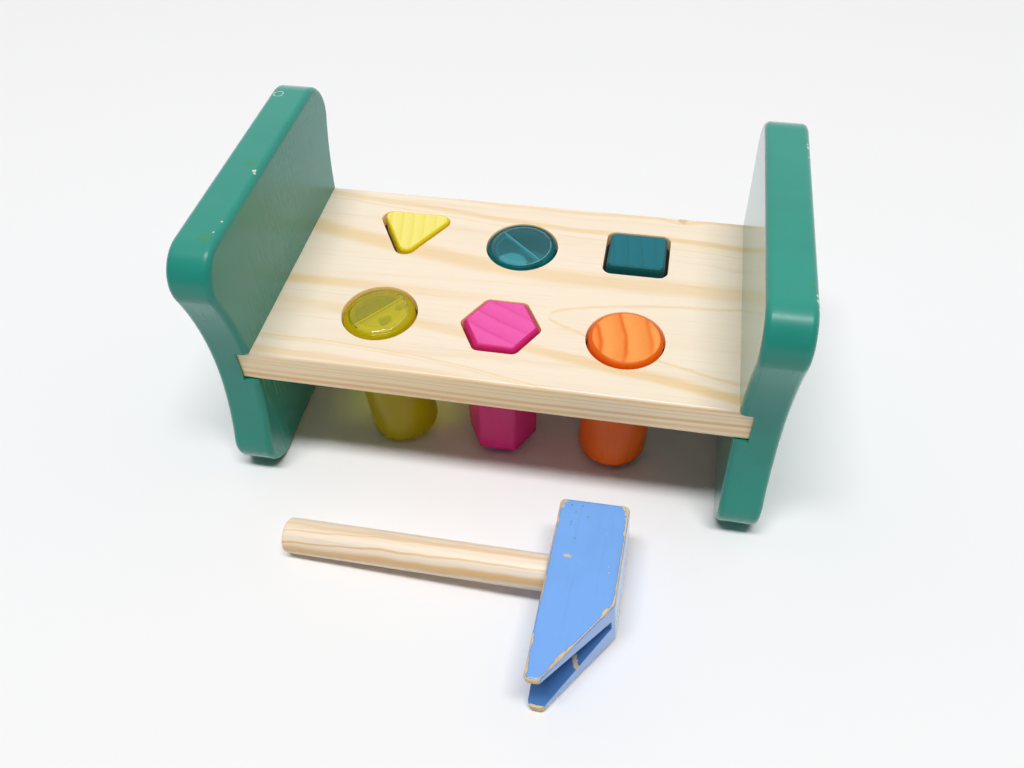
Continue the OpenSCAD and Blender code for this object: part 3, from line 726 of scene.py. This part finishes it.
def in_metres(marks):
    """Places and radii of marks that are given in millimetres."""
    return [(Vector(mark[:3]) * MM, mark[3] * MM) for mark in marks]


def vertices_of(node):
    return np.array([v.co for v in NODES[node].data.vertices], float)


def box_in(node, placement):
    """Lowest and highest corner of a CAD node, measured in the frame of a placement matrix."""
    back = np.array(placement.inverted())
    points = vertices_of(node) @ back[:3, :3].T + back[:3, 3]
    return Vector(points.min(0)), Vector(points.max(0))


def body_axis(body):
    """Direction in which a body slides."""
    return Vector(next(j["axis"] for j in frame["joints"] if j["child"] == body))


def peg_placement(node, body):
    """Frame at the middle of a peg's foot, with Z along the peg."""
    turn = Vector((0, 0, 1)).rotation_difference(body_axis(body)).to_matrix().to_4x4()
    low, high = box_in(node, turn)
    foot = Vector(((low.x + high.x) / 2, (low.y + high.y) / 2, low.z))
    return turn @ Matrix.Translation(foot), high - low


def regular(sides, middle, first):
    """Corners of a regular outline whose sides lie at `middle` from its centre."""
    radius = middle / math.cos(math.pi / sides)
    angles = [math.radians(first + 360 * i / sides) for i in range(sides)]
    return [Vector((radius * math.cos(a), radius * math.sin(a))) for a in angles]


def rounded(corners, radius, inset, steps=8):
    """Points of an anticlockwise outline with rounded corners, moved in by inset."""
    points = []
    for i, corner in enumerate(corners):
        before = (corner - corners[i - 1]).normalized()
        after = (corners[(i + 1) % len(corners)] - corner).normalized()
        a = Vector((before.y, -before.x))
        b = Vector((after.y, -after.x))
        centre = corner - radius * (a + b) / (1 + a.dot(b))
        start = math.atan2(a.y, a.x)
        sweep = -a.angle_signed(b)
        for step in range(steps + 1):
            angle = start + sweep * step / steps
            points.append(centre + (radius - inset) * Vector((math.cos(angle), math.sin(angle))))
    return points


def lofted(name, loops):
    """Mesh skinned over closed loops of equal length, with flat ends."""
    mesh = bpy.data.meshes.new(name)
    work = bmesh.new()
    rows = [[work.verts.new(point) for point in loop] for loop in loops]
    for lower, upper in zip(rows, rows[1:]):
        for i in range(len(lower)):
            j = (i + 1) % len(lower)
            work.faces.new((lower[i], lower[j], upper[j], upper[i])).smooth = True
    work.faces.new(list(reversed(rows[0])))
    work.faces.new(rows[-1])
    work.to_mesh(mesh)
    work.free()
    return bpy.data.objects.new(name, mesh)


def peg_object(name, outline_at, height, rim, steps=6):
    """Straight peg whose outline is given for every inset, with rounded rims."""
    turns = [math.radians(90) * i / steps for i in range(steps + 1)]
    rims = [(rim * (1 - math.cos(a)), rim * (1 - math.sin(a))) for a in turns]
    rims += [(height - level, inset) for level, inset in reversed(rims)]
    return lofted(name, [[(p.x, p.y, level) for p in outline_at(inset)] for level, inset in rims])


def triangle_outline(size, corner_radius=4.5 * MM):
    middle = (size.y + corner_radius) / 3
    shift = Vector((0, size.y / 2 - middle))
    corners = [corner + shift for corner in regular(3, middle, -90)]
    return lambda inset: rounded(corners, corner_radius, inset, 12)


def square_outline(size, corner_radius=3 * MM):
    return lambda inset: rounded(regular(4, size.x / 2, 45), corner_radius, inset)


def hexagon_outline(size, corner_radius=2.6 * MM):
    return lambda inset: rounded(regular(6, size.y / 2, 0), corner_radius, inset)


def round_outline(size, steps=96):
    angles = [2 * math.pi * i / steps for i in range(steps)]
    return lambda inset: [
        (size.y / 2 - inset) * Vector((math.cos(a), math.sin(a))) for a in angles
    ]


def hammer_placement():
    """Frame of the hammer: X along the handle into the head, Z up, on the handle's axis."""
    points = vertices_of("hammer_handle")
    middle = (points.min(0) + points.max(0)) / 2
    axis = Vector(np.linalg.svd(points - points.mean(0), full_matrices=False)[2][0])
    if axis.x < 0:
        axis.negate()
    up = (Vector((0, 0, 1)) - axis.z * axis).normalized()
    turn = Matrix((axis, up.cross(axis), up)).transposed().to_4x4()
    place = Matrix.Translation(Vector(middle)) @ turn
    head_back = box_in("hammer_head", place)[0].x
    return place @ Matrix.Translation(Vector((head_back, 0, 0)))


# Operators


class BENCH_OT_board(bpy.types.Operator):
    """Lacquers the pine board and the hidden dowels"""

    bl_idname = "pounding_bench.board"
    bl_label = "Board"

    def execute(self, context):
        pine = context.scene.pounding_bench.pine
        board = vertices_of("play_board")
        low, high = board.min(0), board.max(0)
        in_groove = 5.5 * MM
        half_length = high[0] - in_groove
        give("play_board", pine_board_material(pine, half_length, high[1], low[2], high[2]))
        dowel_wood = dowel_material(pine)
        for node in NODES:
            if node.startswith("dowel_"):
                give(node, dowel_wood)
        return {"FINISHED"}


class BENCH_OT_panels(bpy.types.Operator):
    """Paints both end panels"""

    bl_idname = "pounding_bench.panels"
    bl_label = "End panels"

    def execute(self, context):
        paint = context.scene.pounding_bench.paint
        scratch = (Vector((-125.9, 54.4, 140.9)) * MM, 2.9 * MM, 0.3 * MM)
        for side, chips, smudges, ring_scratch in (
            ("left", LEFT_CHIPS, LEFT_SMUDGES, scratch), ("right", RIGHT_CHIPS, RIGHT_SMUDGES, None),
        ):
            give(f"{side}_panel", panel_paint_material(
                paint, f"{side} panel paint", in_metres(chips), in_metres(smudges), ring_scratch
            ))
        return {"FINISHED"}


class BENCH_OT_wooden_pegs(bpy.types.Operator):
    """Replaces the plain wooden pegs with rounded, stained ones"""

    bl_idname = "pounding_bench.wooden_pegs"
    bl_label = "Wooden pegs"

    def execute(self, context):
        pegs = context.scene.pounding_bench.pegs
        # Outline, colours of ends and sides, rounding, pith, ring spacing and contrast.
        finishes = {
            "yellow_triangle_peg": (
                triangle_outline, pegs.yellow, pegs.yellow_side, pegs.yellow_rim,
                (-47 * MM, 296 * MM), 5.9 * MM, 0.45),
            "teal_square_peg": (
                square_outline, pegs.teal, pegs.teal_side, pegs.teal_rim,
                (-30 * MM, 290 * MM), 7.2 * MM, 0.35),
            "magenta_hexagon_peg": (
                hexagon_outline, pegs.magenta, pegs.magenta_side, pegs.magenta_rim,
                (226 * MM, -110 * MM), 8.4 * MM, 0.4),
            "orange_round_peg": (
                round_outline, pegs.orange, pegs.orange_side, pegs.orange_rim,
                (-12 * MM, 69 * MM), 11.97 * MM, 0.85),
        }
        for node, (outline, colour, deep_stain_and_shade_colour, rim, pith, spacing, contrast) in finishes.items():
            body, slot_name = WOODEN_PEGS[node]
            placement, size = peg_placement(node, body)
            peg = peg_object(node.replace("_peg", "_stained_peg"), outline(size), size.z, rim)
            context.scene.collection.objects.link(peg)
            peg.matrix_world = placement
            stain = stain_material(
                slot_name.replace("_", " "), colour, deep_stain_and_shade_colour, size.z, rim, pith, spacing, contrast
            )
            peg.data.materials.append(stain)
            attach(peg, body)
            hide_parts(node)
        return {"FINISHED"}


class BENCH_OT_clear_pegs(bpy.types.Operator):
    """Gives the hollow pegs their clear tinted plastic"""

    bl_idname = "pounding_bench.clear_pegs"
    bl_label = "Clear pegs"

    def execute(self, context):
        clear = context.scene.pounding_bench.clear
        # Tints, radius of the disc, turn of the dividing wall in degrees, shares of painted light in front of
        # the wall and in the patches, patches of painted light and shade.
        finishes = (
            ("lime", (clear.lime, clear.lime_glow, clear.lime_pale, clear.lime_shoulder), 14.3 * MM, 49,
             (0.7, -0.55), LIME_LIGHT_PATCHES),
            ("teal", (clear.teal, clear.teal_glow, clear.teal_pale, clear.teal_shoulder), 15.2 * MM, 318,
             (0.15, 0.75), TEAL_LIGHT_PATCHES),
        )
        for colour, tints, disc_radius, web_turn, front_light, patches in finishes:
            cup = f"{colour}_clear_peg_cup"
            lid = f"{colour}_clear_peg_lid"
            placement, size = peg_placement(cup, f"{colour}_peg")
            top = max(size.z, box_in(lid, placement)[1].z)
            plastic = clear_material(
                f"clear {colour} plastic", clear, tints, placement, top, disc_radius, math.radians(web_turn),
                front_light, [(Vector((x, y, 0)) * MM, radius * MM) for x, y, radius in patches],
            )
            give(cup, plastic)
            give(lid, plastic)
        return {"FINISHED"}


class BENCH_OT_grip_rings(bpy.types.Operator):
    """Gives the grip rings their rubber"""

    bl_idname = "pounding_bench.grip_rings"
    bl_label = "Grip rings"

    def execute(self, context):
        rubber = rubber_material()
        for node in NODES:
            if node.startswith("grip_ring_"):
                give(node, rubber)
        return {"FINISHED"}


class BENCH_OT_hammer(bpy.types.Operator):
    """Paints the hammer's head and lacquers its handle"""

    bl_idname = "pounding_bench.hammer"
    bl_label = "Hammer"

    def execute(self, context):
        settings = context.scene.pounding_bench
        placement = hammer_placement()
        low, high = box_in("hammer_head", placement)
        side_length = 49.7 * MM
        tip_width = 6.6 * MM
        outline = [
            (low.x, low.y), (tip_width, low.y), (high.x, high.y - side_length), (high.x, high.y),
            (low.x, high.y),
        ]
        slot_middle, slot_mouth, slot_end, slot_depth = 0.9 * MM, 24 * MM, 6 * MM, 36 * MM
        slot = (slot_middle, slot_mouth, slot_end, low.y + slot_depth)
        chips, dents = (
            [(Vector((x * MM, y * MM, high.z)), radius * MM) for x, y, radius in marks]
            for marks in (HEAD_CHIPS, HEAD_DENTS)
        )
        streak = Vector((16.9, -35.6, -5.7)) * MM
        step = Vector((1.0, -2.9, -0.73)) * MM
        chips += [(streak + step * share, 1.3 * MM) for share in (-0.9, -0.3, 0.3, 0.9)]
        paint = head_paint_material(settings.paint, placement, (low.z, high.z), outline, slot, (chips, dents))
        give("hammer_head", paint)
        handle_end = box_in("hammer_handle", placement)[0].x
        give("hammer_handle", handle_material(settings.pine, placement, -handle_end))
        return {"FINISHED"}


class BENCH_OT_stage(bpy.types.Operator):
    """Sets up the floor, the soft light and the camera"""

    bl_idname = "pounding_bench.stage"
    bl_label = "Stage"

    def execute(self, context):
        stage = context.scene.pounding_bench.stage
        self.lay_floor(context, stage)
        self.hang_lamp(context, stage)
        self.light_sky(context, stage)
        self.stand_camera(context, stage)
        context.scene.view_settings.view_transform = "Standard"
        return {"FINISHED"}

    def lay_floor(self, context, stage, reach=4.0, steps=64):
        mesh = bpy.data.meshes.new("floor")
        work = bmesh.new()
        bmesh.ops.create_circle(work, cap_ends=True, radius=reach, segments=steps)
        work.to_mesh(mesh)
        work.free()
        floor = bpy.data.objects.new("floor", mesh)
        context.scene.collection.objects.link(floor)
        recipe = Recipe("floor")
        point = recipe.point()
        mottle = recipe.noise(point, 3.0, 2.0)
        colour = recipe.shade(mottle, linear(stage.floor), 0.01)
        sheet = recipe.add("BsdfDiffuse", {"Color": colour})
        away = recipe.ramp(recipe.vector("LENGTH", point, output=1), 0.95, 1.7)
        clear = recipe.add("BsdfTransparent")
        floor.data.materials.append(recipe.finish(recipe.add("MixShader", {0: away, 1: sheet, 2: clear})))

    def hang_lamp(self, context, stage):
        lamp = bpy.data.lights.new("soft lamp", "AREA")
        lamp.shape = "RECTANGLE"
        lamp.size = stage.lamp_width
        lamp.size_y = stage.lamp_depth
        lamp.energy = stage.lamp_power
        holder = bpy.data.objects.new("soft lamp", lamp)
        place = Vector(stage.lamp_place)
        holder.location = place
        holder.rotation_euler = (-place).to_track_quat("-Z", "Y").to_euler()
        context.scene.collection.objects.link(holder)

    def light_sky(self, context, stage):
        world = bpy.data.worlds.new("studio")
        world.use_nodes = True
        sky = Recipe.inside(world)
        direction = sky.add("TexCoord")
        from_front = sky.vector("DOT_PRODUCT", direction, (0, 1, 0), output=1)
        diffuse_room = sky.ramp(from_front, -0.3, 0.15, stage.front_fill * stage.sky, stage.sky)
        upward = sky.split(direction)[2]
        diffuse_room = sky.times(diffuse_room, sky.ramp(upward, -0.1, 0.6, 0.15, 1.0))
        glossy_room = sky.ramp(from_front, -0.3, 0.15, stage.dark_side * stage.backdrop, stage.backdrop)
        rays = sky.add("LightPath").node.outputs
        straight = sky.math("MAXIMUM", rays["Is Camera Ray"], rays["Is Transmission Ray"])
        level = sky.add("Mix", {0: rays["Is Glossy Ray"], 2: diffuse_room, 3: glossy_room})
        level = sky.add("Mix", {0: straight, 2: level, 3: stage.backdrop})
        background = sky.add("Background", {"Strength": level, "Color": (1, 1, 1, 1)})
        output = sky.nodes.new("ShaderNodeOutputWorld")
        sky.links.new(background, output.inputs["Surface"])
        context.scene.world = world

    def stand_camera(self, context, stage):
        camera = bpy.data.cameras.new("camera")
        camera.sensor_width = 36
        camera.lens = stage.lens
        camera.clip_start = 0.01
        holder = bpy.data.objects.new("camera", camera)
        holder.location = stage.camera_place
        holder.rotation_euler = Euler(stage.camera_turn, "XYZ")
        context.scene.collection.objects.link(holder)
        context.scene.camera = holder


class BENCH_PT_steps(bpy.types.Panel):
    """Lists the steps that dress the bench"""

    bl_idname = "BENCH_PT_steps"
    bl_label = "Pounding Bench"
    bl_space_type = "VIEW_3D"
    bl_region_type = "UI"
    bl_category = "Pounding Bench"

    def draw(self, context):
        for step in STEPS:
            self.layout.operator(step.bl_idname)


STEPS = (
    BENCH_OT_board, BENCH_OT_panels, BENCH_OT_wooden_pegs, BENCH_OT_clear_pegs,
    BENCH_OT_grip_rings, BENCH_OT_hammer, BENCH_OT_stage,
)
CLASSES = (
    PineSettings, PaintSettings, PegSettings, ClearSettings, StageSettings, BenchSettings,
    *STEPS, BENCH_PT_steps,
)


def register():
    for kind in CLASSES:
        bpy.utils.register_class(kind)
    bpy.types.Scene.pounding_bench = PointerProperty(type=BenchSettings)


def unregister():
    del bpy.types.Scene.pounding_bench
    for kind in reversed(CLASSES):
        bpy.utils.unregister_class(kind)


def corners(box):
    return [list(corner) for corner in box]


def main():
    register()
    for step in STEPS:
        group, name = step.bl_idname.split(".")
        getattr(getattr(bpy.ops, group), name)()


if __name__ == "__main__":
    main()
